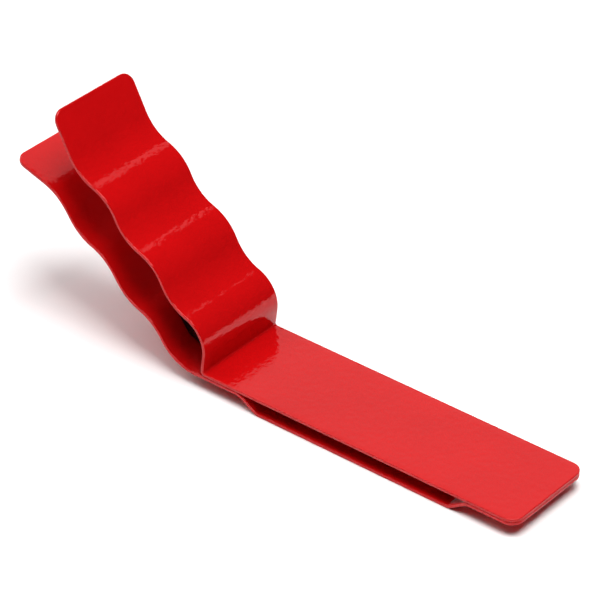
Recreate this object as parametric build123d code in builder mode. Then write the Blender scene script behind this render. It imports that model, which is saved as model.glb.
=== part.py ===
"""Spring clip for holding glued leather: two formed leaves of painted strip, hinged at the root.

Units are millimetres. +X runs along the jaws to their tip, +Y across the strip, +Z up.
The origin is the centre of the flat underside of the lower jaw, on the clip's mid-plane.
Every profile lies in the XZ plane and is swept straight across the width of the strip.
"""

import os
from math import cos, pi, radians, sin

from build123d import *

# Strip
strip_width = 20.0
sheet = 0.65
corner_radius = 2.4
edge_radius = 0.15  # the sheared edges are tumbled before painting

# Jaws, measured from the crease, the inner corner where the upper leaf turns up out of its jaw
jaw_length = 67.95
jaw_gap = 2.4
root_land_end = 8.2  # the two leaves lie on each other from the crease to here
drop_end = 12.0  # and the lower leaf is fully dropped from here
rise_start = 54.1
rise_end = 57.8  # the jaws meet again from here to the tip
joggle_radius = 2.5

# Upper handle, on its outer face: a riser that leans over the jaw, a round shoulder and a wave
crease_radius = 0.4
riser_angle = 98.0
riser_run = 8.55
shoulder_radius = 6.35
shoulder_run = 8.9
upper_shallow = 20.1
upper_steep = 62.3
upper_run = 7.47
upper_end_run = 11.7
upper_wave_radius = 9.0

# Lower handle, on its outer face: a bend out of the flat, a wave and a flared end
root_bend_x = -6.73
root_bend_radius = 9.1
root_run = 8.85
lower_shallow = 19.1
lower_steep = 54.0
lower_shallow_run = 6.22
lower_steep_run = 8.47
lower_wave_radius = 9.8
flare_angle = 17.4
flare_run = 10.65

# Hinge, set in the hollow behind the shoulder
pin_x = -4.8
pin_height = 3.4  # above the upper jaw's top face
pin_radius = 1.4
running_clearance = 0.05
bracket_sheet = 0.7
boss_radius = 2.5
upper_ear_inner_y = 2.65
ear_gap = 0.1
upper_foot_x = (-7.8, -3.6)  # the stretch of leaf that each bracket's foot lies on
lower_foot_x = (-11.2, -8.0)
head_radius = 2.1
tail_radius = 1.9
head_height = 0.6

# Torsion spring
wire_radius = 0.55
coil_radius = 2.25
coil_pitch = 1.14
coil_turns_over = 3  # whole turns, before the legs' own angles are taken off
lower_leg_angle = 126.0
lower_leg = 6.4
upper_leg_angle = 131.0
upper_leg = 5.8

# Worked out from the above
crease_x = -(drop_end + rise_start) / 2
jaw_top = jaw_gap + 2 * sheet
half_width = strip_width / 2
upper_ear_y = upper_ear_inner_y + bracket_sheet
lower_ear_inner_y = upper_ear_y + ear_gap
lower_ear_y = lower_ear_inner_y + bracket_sheet
pin_axis = (crease_x + pin_x, jaw_top + pin_height)


def handle_points(start, runs):
    """Corners of a handle that leaves start and climbs backwards: runs are (length, degrees)."""
    x, z = start
    corners = [start]
    for length, angle in runs:
        x -= length * cos(radians(angle))
        z += length * sin(radians(angle))
        corners.append((x, z))
    return corners


# Outer face of the upper leaf, from the jaw's tip back to the handle's end
upper_wave = [(upper_run, upper_steep), (upper_run, upper_shallow)] * 2
upper_root = [(riser_run, riser_angle), (shoulder_run, upper_shallow)]
upper_corners = [
    (crease_x + jaw_length, jaw_top),
    *handle_points((crease_x, jaw_top), [*upper_root, *upper_wave, (upper_end_run, upper_steep)]),
]
upper_radii = [crease_radius, shoulder_radius] + [upper_wave_radius] * 5

# Outer face of the lower leaf, from the jaw's tip back to the handle's end
land = jaw_top - 2 * sheet  # underside of the lower leaf where the leaves touch
lower_wave = [(lower_shallow_run, lower_shallow), (lower_steep_run, lower_steep)] * 2
lower_corners = [
    (crease_x + jaw_length, land),
    (crease_x + rise_end, land),
    (crease_x + rise_start, 0),
    (crease_x + drop_end, 0),
    (crease_x + root_land_end, land),
    *handle_points(
        (crease_x + root_bend_x, land),
        [(root_run, lower_steep), *lower_wave, (flare_run, flare_angle)],
    ),
]
lower_radii = [joggle_radius] * 4 + [root_bend_radius] + [lower_wave_radius] * 5


def band(corners, radii, inner_side, depth):
    """Face between a leaf's outer face and a line that runs depth inward of it."""
    with BuildSketch(Plane.XZ) as profile:
        with BuildLine():
            FilletPolyline(*corners, radius=radii)
            offset(amount=depth, side=inner_side)
        make_face()
    return profile.sketch_local


def leaf(profile):
    """A leaf: its profile across the width of the strip, with its corners and edges rounded."""
    with BuildPart() as strip:
        with BuildSketch(Plane.XZ.offset(-half_width)):
            add(profile)
        extrude(amount=strip_width)
        ends = strip.faces().sort_by(Axis.X)
        for end in (ends[0], ends[-1]):
            fillet(end.edges().filter_by(Axis.Y, reverse=True), radius=corner_radius)
        # Each face's outline is one smooth loop, so rounding its jaw edges rounds it all the way
        jaw_edges = strip.edges().filter_by(Axis.X).sort_by(SortBy.LENGTH)[-4:]
        fillet(jaw_edges, radius=edge_radius)
    return strip.part


def bracket(leaf_profile, deep_profile, foot_x, ear_inner_y, bore_radius):
    """A channel: a foot that lies on the leaf's inner face, and two ears that carry the pin."""
    low_x, high_x = (crease_x + x for x in foot_x)
    ear_outer_y = ear_inner_y + bracket_sheet
    with BuildSketch() as foot:
        add(deep_profile)
        add(leaf_profile, mode=Mode.SUBTRACT)
        with Locations(((low_x + high_x) / 2, 0)):
            Rectangle(high_x - low_x, 4 * strip_width, mode=Mode.INTERSECT)
    with BuildSketch() as ear:
        add(foot.sketch)
        with Locations(pin_axis):
            Circle(boss_radius)
        make_hull()
        add(leaf_profile, mode=Mode.SUBTRACT)
        with Locations(pin_axis):
            Circle(bore_radius, mode=Mode.SUBTRACT)
    with BuildPart() as channel:
        with BuildSketch(Plane.XZ.offset(-ear_outer_y)):
            add(foot.sketch)
        extrude(amount=2 * ear_outer_y)
        with BuildSketch(Plane.XZ.offset(ear_inner_y)):
            add(ear.sketch)
        extrude(amount=bracket_sheet)
        mirror(about=Plane.XZ)
    return channel.part


upper_face = band(upper_corners, upper_radii, Side.LEFT, sheet)
upper_deep = band(upper_corners, upper_radii, Side.LEFT, sheet + bracket_sheet)
lower_face = band(lower_corners, lower_radii, Side.RIGHT, sheet)
lower_deep = band(lower_corners, lower_radii, Side.RIGHT, sheet + bracket_sheet)

upper_leaf = leaf(upper_face)
lower_leaf = leaf(lower_face)

upper_hinge_bracket = bracket(
    upper_face, upper_deep, upper_foot_x, upper_ear_inner_y, pin_radius + running_clearance
)
lower_hinge_bracket = bracket(
    lower_face, lower_deep, lower_foot_x, lower_ear_inner_y, pin_radius
)

# Hinge pin: a rounded head on the near side and a peened tail on the far side
with BuildPart() as hinge_pin:
    with BuildSketch(Plane.XZ.offset(-lower_ear_y)):
        with Locations(pin_axis):
            Circle(pin_radius)
    extrude(amount=2 * lower_ear_y)
    with BuildSketch(Plane.XZ.offset(lower_ear_y)):
        with Locations(pin_axis):
            Circle(head_radius)
    extrude(amount=head_height)
    with BuildSketch(Plane.XZ.offset(-lower_ear_y)):
        with Locations(pin_axis):
            Circle(tail_radius)
    extrude(amount=-head_height)
    rims = hinge_pin.edges().filter_by(GeomType.CIRCLE).group_by(Axis.Y)
    fillet(rims[0] + rims[-1], radius=head_height / 2)

# Torsion spring: its legs push the two brackets apart, and squeezing the handles winds it up.
# Leg angles are measured in the XZ plane from +X towards +Z, and the coil runs towards -Y.
start_angle = lower_leg_angle + 90
end_angle = upper_leg_angle - 90
coil_sweep = 360 * coil_turns_over - (start_angle - end_angle)
coil_height = coil_sweep / 360 * coil_pitch
coil_foot = Vector(coil_radius, 0, 0)
coil_head = coil_foot.rotate(Axis.Z, coil_sweep) + Vector(0, 0, coil_height)
climb = Vector(0, 2 * pi * coil_radius, coil_pitch).normalized()
leg_tip = coil_foot - climb * lower_leg
with BuildPart() as spring_wire:
    with BuildLine() as wire_path:
        Line(leg_tip, coil_foot)
        Helix(pitch=coil_pitch, height=coil_height, radius=coil_radius)
        Line(coil_head, coil_head + climb.rotate(Axis.Z, coil_sweep) * upper_leg)
    with BuildSketch(Plane(origin=leg_tip, z_dir=climb)):
        Circle(wire_radius)
    sweep(path=wire_path.line, is_frenet=True)

# The wire is coiled about +Z, then laid on the pin's axis
coil_plane = Plane(
    origin=(pin_axis[0], coil_height / 2, pin_axis[1]),
    x_dir=(cos(radians(start_angle)), 0, sin(radians(start_angle))),
    z_dir=(0, -1, 0),
)
torsion_spring = coil_plane.location * spring_wire.part

parts = {
    "upper_leaf": upper_leaf,
    "lower_leaf": lower_leaf,
    "upper_hinge_bracket": upper_hinge_bracket,
    "lower_hinge_bracket": lower_hinge_bracket,
    "hinge_pin": hinge_pin.part,
    "torsion_spring": torsion_spring,
}
os.makedirs("parts", exist_ok=True)
for name, solid in parts.items():
    solid.label = name
    export_step(solid, f"parts/{name}.step")
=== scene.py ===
"""Looks of the spring clip: two leaves of red enamelled strip on a dark hinge, on a white floor.

Metres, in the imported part's own frame: +X along the jaws to their tip, +Y across the strip, +Z up.
"""

from math import atan2, ceil, cos, degrees, pi, radians, sin, sqrt, tan

import bpy
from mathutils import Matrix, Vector


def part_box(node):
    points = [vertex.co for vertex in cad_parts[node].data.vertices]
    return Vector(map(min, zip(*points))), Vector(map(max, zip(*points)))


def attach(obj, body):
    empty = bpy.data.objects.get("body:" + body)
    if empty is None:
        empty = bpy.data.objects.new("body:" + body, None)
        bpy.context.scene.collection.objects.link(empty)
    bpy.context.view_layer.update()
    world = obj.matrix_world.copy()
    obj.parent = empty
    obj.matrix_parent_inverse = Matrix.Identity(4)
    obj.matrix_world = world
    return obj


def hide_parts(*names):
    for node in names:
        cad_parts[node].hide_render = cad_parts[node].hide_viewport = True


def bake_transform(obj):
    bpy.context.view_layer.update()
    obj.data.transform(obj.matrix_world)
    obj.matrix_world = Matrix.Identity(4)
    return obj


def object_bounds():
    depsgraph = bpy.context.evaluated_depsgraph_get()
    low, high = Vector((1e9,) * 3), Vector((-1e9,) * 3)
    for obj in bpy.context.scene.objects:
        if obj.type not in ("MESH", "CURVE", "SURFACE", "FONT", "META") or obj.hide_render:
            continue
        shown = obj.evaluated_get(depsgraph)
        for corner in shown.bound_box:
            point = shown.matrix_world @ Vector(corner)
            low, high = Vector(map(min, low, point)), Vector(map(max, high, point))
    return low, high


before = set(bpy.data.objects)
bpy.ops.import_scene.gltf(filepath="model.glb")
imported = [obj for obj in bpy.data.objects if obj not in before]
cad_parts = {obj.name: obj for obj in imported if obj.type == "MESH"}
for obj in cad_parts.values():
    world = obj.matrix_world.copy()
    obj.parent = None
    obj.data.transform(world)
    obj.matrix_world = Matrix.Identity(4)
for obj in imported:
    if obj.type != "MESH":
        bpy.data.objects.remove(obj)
cad_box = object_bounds()

mm = 0.001
rounding = 0.0001 * mm

# Strip
sheet = 0.65 * mm
corner_radius = 2.4 * mm
edge_radius = 0.15 * mm

# Jaws, measured from the crease
jaw_length = 67.95 * mm
root_land_end = 8.2 * mm
drop_end = 12.0 * mm
rise_start = 54.1 * mm
rise_end = 57.8 * mm
joggle_radius = 2.5 * mm

# Upper handle, on its outer face
crease_radius = 0.4 * mm
riser_angle = 98.0
riser_run = 8.55 * mm
shoulder_radius = 6.35 * mm
shoulder_run = 8.9 * mm
upper_shallow = 20.1
upper_steep = 62.3
upper_run = 7.47 * mm
upper_end_run = 11.7 * mm
upper_wave_radius = 9.0 * mm

# Lower handle, on its outer face
root_bend_x = -6.73 * mm
root_bend_radius = 9.1 * mm
root_run = 8.85 * mm
lower_shallow = 19.1
lower_steep = 54.0
lower_shallow_run = 6.22 * mm
lower_steep_run = 8.47 * mm
lower_wave_radius = 9.8 * mm
flare_angle = 17.4
flare_run = 10.65 * mm

# Torsion spring
wire_radius = 0.55 * mm
coil_radius = 2.25 * mm
coil_pitch = 1.14 * mm
coil_turns_over = 3
lower_leg_angle = 126.0
lower_leg = 6.4 * mm
upper_leg_angle = 131.0
upper_leg = 5.8 * mm

# Fineness of the meshes
across_columns = 16
corner_steps = 10
rim_steps = 5
run_step = 2.0 * mm
arc_step = 2.0
coil_step = 6.0
leg_steps = 8
wire_sides = 20
wire_chamfer = 0.08 * mm

# Places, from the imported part
upper_low, upper_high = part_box("upper_leaf")
lower_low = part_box("lower_leaf")[0]
pin_low, pin_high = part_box("hinge_pin")
tip_x = upper_high.x
crease_x = tip_x - jaw_length
jaw_top = upper_low.z + sheet
land = upper_low.z - sheet
half_width = upper_high.y
pin_axis = (pin_low + pin_high) / 2


# ---------------------------------------------------------------- leaves

def handle_points(start, runs):
    """Corners of a handle that leaves start and climbs backwards: runs are (length, degrees)."""
    corners = [Vector(start)]
    for length, angle in runs:
        step = Vector((-cos(radians(angle)), sin(radians(angle)))) * length
        corners.append(corners[-1] + step)
    return corners


def trace(corners, radii):
    """The smooth line through the corners, as (length, start, heading, curvature) pieces."""
    pieces = []
    here = corners[0]
    for corner, following, radius in zip(corners[1:], corners[2:], radii):
        inward, outward = corner - here, following - corner
        heading = atan2(inward.y, inward.x)
        turn = atan2(outward.y, outward.x) - heading
        turn = (turn + pi) % (2 * pi) - pi
        reach = radius * tan(abs(turn) / 2)
        pieces.append((inward.length - reach, here, heading, 0.0))
        arc_start = corner - inward.normalized() * reach
        pieces.append((radius * abs(turn), arc_start, heading, turn / (radius * abs(turn))))
        here = corner + outward.normalized() * reach
    last = corners[-1] - here
    pieces.append((last.length, here, atan2(last.y, last.x), 0.0))
    return pieces


def stations(pieces):
    """Distances along the line, close together on its arcs."""
    along = [0.0]
    for length, _, _, curvature in pieces:
        count = ceil(length / run_step)
        if curvature:
            count = ceil(degrees(length * abs(curvature)) / arc_step)
        along += [along[-1] + length * (i + 1) / count for i in range(count)]
    return along


def at(pieces, distance):
    """Point and heading on the line, at a distance along it; it runs on straight past its end."""
    for piece in pieces:
        length, start, heading, curvature = piece
        if distance <= length or piece is pieces[-1]:
            break
        distance -= length
    if not curvature:
        return start + Vector((cos(heading), sin(heading))) * distance, heading
    now = heading + curvature * distance
    chord = Vector((sin(now) - sin(heading), cos(heading) - cos(now))) / curvature
    return start + chord, now


def rim_profile():
    """(out, depth) of a sheared and tumbled edge, from the outer face round to the inner one."""
    turn = [pi / 2 * (i + 1) / rim_steps for i in range(rim_steps)]
    outer = [(edge_radius * sin(t), edge_radius * (1 - cos(t))) for t in turn]
    inner = [(edge_radius * cos(t), sheet - edge_radius * (1 - sin(t))) for t in turn]
    return outer + [(edge_radius, sheet / 2), (edge_radius, sheet - edge_radius)] + inner[:-1]


def leaf(name, corners, radii, side):
    """A formed strip: side is +1 where its inner face is left of the line, and -1 where right."""
    columns = across_columns
    pieces = trace(corners, radii)
    total = sum(piece[0] for piece in pieces)
    inset = corner_radius - edge_radius
    bend = [pi / 2 * i / corner_steps for i in range(corner_steps + 1)]
    ends = [corner_radius - inset * cos(t) for t in bend]
    clear = corner_radius + mm
    middle = [s for s in stations(pieces) if clear < s < total - clear]
    rows = ends + middle + [total - s for s in reversed(ends)]

    def place(s, w, depth):
        point, heading = at(pieces, s)
        x, z = point + Vector((-sin(heading), cos(heading))) * side * depth
        return x, w, z

    def half(s):
        into = max(corner_radius - min(s, total - s), 0.0)
        return half_width - corner_radius + sqrt(max(inset ** 2 - into ** 2, 0.0))

    def outline_normal(s, w):
        """Which way is out of the strip's flat outline, as (along, across)."""
        end = -1 if s < total / 2 else 1
        across = abs(w) - (half_width - corner_radius)
        along = max(corner_radius - min(s, total - s), 0.0)
        if across < rounding:
            return end, 0
        normal = Vector((along, across)).normalized()
        return normal.x * end, normal.y * (1 if w > 0 else -1)

    grid = [(s, half(s) * (2 * j / columns - 1)) for s in rows for j in range(columns + 1)]
    wide, tall = columns + 1, len(rows)
    vertices = [place(s, w, 0) for s, w in grid] + [place(s, w, sheet) for s, w in grid]
    border = list(range(wide))
    border += [i * wide + columns for i in range(1, tall)]
    border += [(tall - 1) * wide + j for j in range(columns - 1, -1, -1)]
    border += [i * wide for i in range(tall - 2, 0, -1)]
    loops = [border]
    for out, depth in rim_profile():
        loops.append([len(vertices) + k for k in range(len(border))])
        for index in border:
            s, w = grid[index]
            along, across = outline_normal(s, w)
            vertices.append(place(s + out * along, w + out * across, depth))
    loops.append([index + len(grid) for index in border])

    faces = []
    for i in range(tall - 1):
        for j in range(columns):
            a = i * wide + j
            quad = (a, a + 1, a + 1 + wide, a + wide)
            faces.append(quad)
            faces.append(tuple(index + len(grid) for index in reversed(quad)))
    for first, second in zip(loops, loops[1:]):
        for k in range(len(border)):
            n = (k + 1) % len(border)
            faces.append((first[n], first[k], second[k], second[n]))
    return mesh_object(name, vertices, faces)


def mesh_object(name, vertices, faces):
    """A closed, smooth-shaded mesh with its faces turned outwards."""
    mesh = bpy.data.meshes.new(name)
    mesh.from_pydata([tuple(v) for v in vertices], [], faces)
    mesh.polygons.foreach_set("use_smooth", [True] * len(mesh.polygons))
    piece = bpy.data.objects.new(name, mesh)
    bpy.context.scene.collection.objects.link(piece)
    bpy.context.view_layer.objects.active = piece
    bpy.ops.object.mode_set(mode="EDIT")
    bpy.ops.mesh.select_all(action="SELECT")
    bpy.ops.mesh.normals_make_consistent(inside=False)
    bpy.ops.object.mode_set(mode="OBJECT")
    return piece


upper_wave = [(upper_run, upper_steep), (upper_run, upper_shallow)] * 2
upper_root = [(riser_run, riser_angle), (shoulder_run, upper_shallow)]
upper_corners = [
    Vector((tip_x, jaw_top)),
    *handle_points((crease_x, jaw_top), [*upper_root, *upper_wave, (upper_end_run, upper_steep)]),
]
upper_radii = [crease_radius, shoulder_radius] + [upper_wave_radius] * 5

lower_wave = [(lower_shallow_run, lower_shallow), (lower_steep_run, lower_steep)] * 2
lower_corners = [
    Vector((tip_x, land)),
    Vector((crease_x + rise_end, land)),
    Vector((crease_x + rise_start, lower_low.z)),
    Vector((crease_x + drop_end, lower_low.z)),
    Vector((crease_x + root_land_end, land)),
    *handle_points(
        (crease_x + root_bend_x, land),
        [(root_run, lower_steep), *lower_wave, (flare_run, flare_angle)],
    ),
]
lower_radii = [joggle_radius] * 4 + [root_bend_radius] + [lower_wave_radius] * 5

upper_strip = leaf("upper_strip", upper_corners, upper_radii, 1)
lower_strip = leaf("lower_strip", lower_corners, lower_radii, -1)
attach(upper_strip, "upper_half")
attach(lower_strip, "lower_half")
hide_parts("upper_leaf")
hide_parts("lower_leaf")


# ---------------------------------------------------------------- torsion spring

def spring_line():
    """Centres of the wire's rings, each with its outward and its forward direction."""
    start_angle = radians(lower_leg_angle + 90)
    sweep = radians(360 * coil_turns_over - (lower_leg_angle + 90) + (upper_leg_angle - 90))
    height = sweep / (2 * pi) * coil_pitch
    count = ceil(degrees(sweep) / coil_step)
    rings = []
    for i in range(count + 1):
        angle = start_angle + sweep * i / count
        out = Vector((cos(angle), 0, sin(angle)))
        forward = Vector((-sin(angle) * coil_radius, -coil_pitch / (2 * pi), cos(angle) * coil_radius))
        centre = pin_axis + out * coil_radius + Vector((0, height / 2 - height * i / count, 0))
        rings.append((centre, out, forward.normalized()))
    first, last = rings[0], rings[-1]
    lead = [first[0] - first[2] * lower_leg * (1 - i / leg_steps) for i in range(leg_steps)]
    trail = [last[0] + last[2] * upper_leg * (i + 1) / leg_steps for i in range(leg_steps)]
    rings = [(p, first[1], first[2]) for p in lead] + rings
    return rings + [(p, last[1], last[2]) for p in trail]


def wire(name, rings, radius):
    """A round wire through the rings, its cut ends slightly broken."""
    around, chamfer = wire_sides, wire_chamfer
    first, last = rings[0], rings[-1]
    profile = [(first[0], first[1], first[2], radius - chamfer)]
    profile.append((first[0] + first[2] * chamfer, first[1], first[2], radius))
    profile += [(*ring, radius) for ring in rings[1:-1]]
    profile.append((last[0] - last[2] * chamfer, last[1], last[2], radius))
    profile.append((last[0], last[1], last[2], radius - chamfer))
    vertices, faces = [], []
    for centre, out, forward, size in profile:
        side = forward.cross(out)
        for k in range(around):
            angle = 2 * pi * k / around
            vertices.append(centre + (out * cos(angle) + side * sin(angle)) * size)
    for i in range(len(profile) - 1):
        for k in range(around):
            n = (k + 1) % around
            a = i * around
            faces.append((a + k, a + n, a + around + n, a + around + k))
    faces.append(tuple(range(around)))
    faces.append(tuple(range(len(vertices) - around, len(vertices))))
    return mesh_object(name, vertices, faces)


spring = wire("spring_coil", spring_line(), wire_radius)
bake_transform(spring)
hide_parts("torsion_spring")


# ---------------------------------------------------------------- materials

class Nodes:
    """A short way to build a material's nodes."""

    def __init__(self, name):
        self.material = bpy.data.materials.new(name)
        self.material.use_nodes = True
        self.tree = self.material.node_tree
        self.shader = self.tree.nodes["Principled BSDF"]
        self.place = self.add("ShaderNodeTexCoord").outputs["Object"]

    def add(self, kind, inputs=None, **settings):
        node = self.tree.nodes.new(kind)
        for key, value in settings.items():
            setattr(node, key, value)
        for key, value in (inputs or {}).items():
            self.feed(node.inputs[key], value)
        return node

    def feed(self, socket, value):
        """Links another node's output to the socket, or sets a constant on it."""
        if isinstance(value, bpy.types.NodeSocket):
            self.tree.links.new(value, socket)
        else:
            socket.default_value = value

    def noise(self, scale, detail, roughness=0.5, vector=None):
        inputs = {"Vector": vector or self.place, "Scale": scale, "Detail": detail}
        inputs["Roughness"] = roughness
        return self.add("ShaderNodeTexNoise", inputs).outputs["Fac"]

    def spread(self, value, low, high, to_low=0.0, to_high=1.0):
        inputs = {"Value": value, "From Min": low, "From Max": high}
        inputs.update({"To Min": to_low, "To Max": to_high})
        return self.add("ShaderNodeMapRange", inputs).outputs["Result"]

    def mix(self, factor, first, second):
        """Mixes two colours, which are inputs 6 and 7 of a Mix node, as its colour output is 2."""
        node = self.add("ShaderNodeMix", {0: factor, 6: first, 7: second}, data_type="RGBA")
        return node.outputs[2]

    def bump(self, height, distance):
        inputs = {"Height": height, "Distance": distance}
        return self.add("ShaderNodeBump", inputs).outputs["Normal"]

    def set(self, **values):
        """Feeds the shader's own inputs, named with _ for a space."""
        for key, value in values.items():
            self.feed(self.shader.inputs[key.replace("_", " ")], value)


def shade(colour, factor):
    """The colour made lighter or darker, with an alpha of 1."""
    return tuple(channel * factor for channel in colour) + (1,)


def red_enamel():
    """Glossy, slightly metallic red powder coat: near-mirror gloss over a slight orange peel."""
    n = Nodes("red_enamel")
    paint = (0.52, 0.0032, 0.0042)
    tone = n.spread(n.noise(90, 3), 0.3, 0.7)
    colour = n.mix(tone, shade(paint, 0.96), shade(paint, 1.04))
    peel = n.bump(n.noise(1000, 2, 0.45), 0.07 * mm)
    n.set(Base_Color=colour, Roughness=n.spread(n.noise(260, 4), 0.3, 0.7, 0.03, 0.06))
    n.set(Normal=peel, IOR=1.38, Metallic=0.1)
    return n.material


def oxide_steel(name, dark, light, roughness):
    """Dark oxide on formed steel: faint mottling and fine rolling lines."""
    n = Nodes(name)
    tone = n.spread(n.noise(420, 5, 0.6), 0.3, 0.7)
    colour = n.mix(tone, dark, light)
    stretch = n.add("ShaderNodeMapping", {"Vector": n.place, "Scale": (1, 0.04, 1)})
    lines = n.noise(6000, 2, 0.5, stretch.outputs["Vector"])
    rough = n.spread(n.noise(900, 4, 0.6), 0.3, 0.7, roughness * 0.8, roughness * 1.3)
    n.set(Base_Color=colour, Metallic=1.0, Roughness=rough, Normal=n.bump(lines, 0.003 * mm))
    return n.material


enamel = red_enamel()
bracket_steel = oxide_steel("black_oxide", (0.035, 0.035, 0.04, 1), (0.07, 0.07, 0.075, 1), 0.34)
pin_steel = oxide_steel("pin_oxide", (0.06, 0.06, 0.065, 1), (0.11, 0.11, 0.115, 1), 0.26)
music_wire = oxide_steel("spring_steel", (0.09, 0.09, 0.095, 1), (0.16, 0.16, 0.17, 1), 0.32)

upper_strip.data.materials.append(enamel)
lower_strip.data.materials.append(enamel)
spring.data.materials.append(music_wire)


def finish_node(name, material):
    """Gives a carried-over CAD node its finish."""
    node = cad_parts[name]
    if not node.material_slots:
        node.data.materials.append(material)
    for place in node.material_slots:
        place.material = material


finish_node("upper_leaf", enamel)
finish_node("lower_leaf", enamel)
finish_node("upper_hinge_bracket", bracket_steel)
finish_node("lower_hinge_bracket", bracket_steel)
finish_node("hinge_pin", pin_steel)
finish_node("torsion_spring", music_wire)


# ---------------------------------------------------------------- studio

floor_half = 3.0
low, high = cad_box
centre = (low + high) / 2


def floor():
    """A plain white floor, level with the jaws' flat underside."""
    signs = ((-1, -1), (1, -1), (1, 1), (-1, 1))
    corners = [(x * floor_half, y * floor_half, lower_low.z) for x, y in signs]
    plane = mesh_object("floor", corners, [(0, 1, 2, 3)])
    n = Nodes("white_paper")
    tone = n.spread(n.noise(3, 2), 0.3, 0.7)
    n.set(Base_Color=n.mix(tone, (0.93, 0.93, 0.93, 1), (0.95, 0.95, 0.95, 1)), Roughness=0.9)
    n.set(Specular_IOR_Level=0.0)
    plane.data.materials.append(n.material)


def panel(name, direction, distance, size, radiance):
    """A soft box that faces the clip: its light is as bright as radiance wherever it is seen."""
    light = bpy.data.lights.new(name, "AREA")
    light.shape = "RECTANGLE"
    light.size, light.size_y = size
    light.energy = pi * size[0] * size[1] * radiance
    lamp = bpy.data.objects.new(name, light)
    bpy.context.scene.collection.objects.link(lamp)
    out = Vector(direction).normalized()
    lamp.location = centre + out * distance
    lamp.rotation_euler = out.to_track_quat("Z", "Y").to_euler()


def toward(azimuth, elevation):
    """Unit vector at an azimuth from +X towards +Y, and an elevation."""
    a, e = radians(azimuth), radians(elevation)
    return Vector((cos(a) * cos(e), sin(a) * cos(e), sin(e)))


floor()
panel("key", toward(-10, 76), 0.5, (0.34, 0.34), 7.6)
panel("overhead", toward(-60, 84), 1.9, (2.2, 1.8), 1.1)
panel("back_left", toward(124, 42), 1.5, (0.92, 1.0), 0.88)
panel("left_wall", toward(185, 42), 1.6, (2.0, 1.7), 0.8)
panel("left", toward(196, 47), 1.4, (0.5, 0.5), 4.0)

world = bpy.data.worlds.new("studio")
world.use_nodes = True
background = world.node_tree.nodes["Background"]
background.inputs["Color"].default_value = (1, 1, 1, 1)
background.inputs["Strength"].default_value = 0.02
bpy.context.scene.world = world
bpy.context.scene.view_settings.view_transform = "Standard"


# ---------------------------------------------------------------- camera

# Azimuth is measured from the -Y side, round towards +X
camera_azimuth = 39.49
camera_elevation = 33.58
camera_distance = 0.5993
aim = centre + Vector((1.9, -0.2, -1.9)) * mm

camera_data = bpy.data.cameras.new("camera")
camera_data.sensor_width = 36.0
camera_data.lens = 208.8
camera_data.clip_start = 0.05
camera_data.clip_end = 20.0
camera = bpy.data.objects.new("camera", camera_data)
bpy.context.scene.collection.objects.link(camera)
back = toward(camera_azimuth - 90, camera_elevation)
camera.location = aim + back * camera_distance
camera.rotation_euler = back.to_track_quat("Z", "Y").to_euler()
bpy.context.scene.camera = camera
